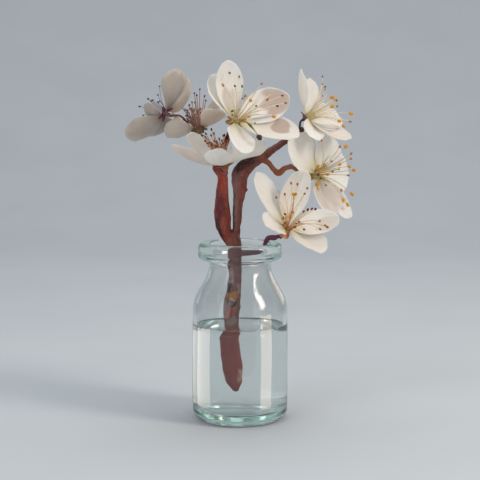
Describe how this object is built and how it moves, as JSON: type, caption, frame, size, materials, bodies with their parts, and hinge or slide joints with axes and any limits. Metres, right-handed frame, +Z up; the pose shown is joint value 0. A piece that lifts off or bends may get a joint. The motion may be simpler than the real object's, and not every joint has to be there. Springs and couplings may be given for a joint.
{
  "type": "plum blossom sprig in vial",
  "caption": "Flowering plum twig with white blossoms and yellow-tipped stamens, standing in a small clear glass vial part filled with water.",
  "frame": {"origin": "centre of the vial's flat bottom, on the surface it stands on", "axes": "+Z up along the vial, +X to the right and +Y away from the viewer as the picture shows it"},
  "size_m": [0.0571, 0.0336, 0.0894],
  "materials": {
    "glass": "clear, faintly green",
    "water": "clear liquid",
    "bark": "red-brown bark, rough",
    "calyx": "matt, dark red",
    "petal": "soft, creamy white",
    "shaded_petal": "soft, grey in shade",
    "stamen": "matt, yellow"
  },
  "bodies": {
    "root": {"vial": "glass", "water": "water", "twig": "bark", "bloom_1_calyx": "calyx", "bloom_1_petals": "shaded_petal", "bloom_1_stamens": "stamen", "bloom_2_calyx": "calyx", "bloom_2_petals": "petal", "bloom_2_stamens": "stamen", "bloom_3_calyx": "calyx", "bloom_3_petals": "petal", "bloom_3_stamens": "stamen", "bloom_4_calyx": "calyx", "bloom_4_petals": "petal", "bloom_4_stamens": "stamen", "bloom_5_calyx": "calyx", "bloom_5_petals": "petal", "bloom_5_stamens": "stamen", "bloom_6_calyx": "calyx", "bloom_6_petals": "petal", "bloom_6_stamens": "stamen", "bloom_7_calyx": "calyx", "bloom_7_petals": "shaded_petal", "bloom_7_stamens": "stamen"}
  },
  "joints": []
}
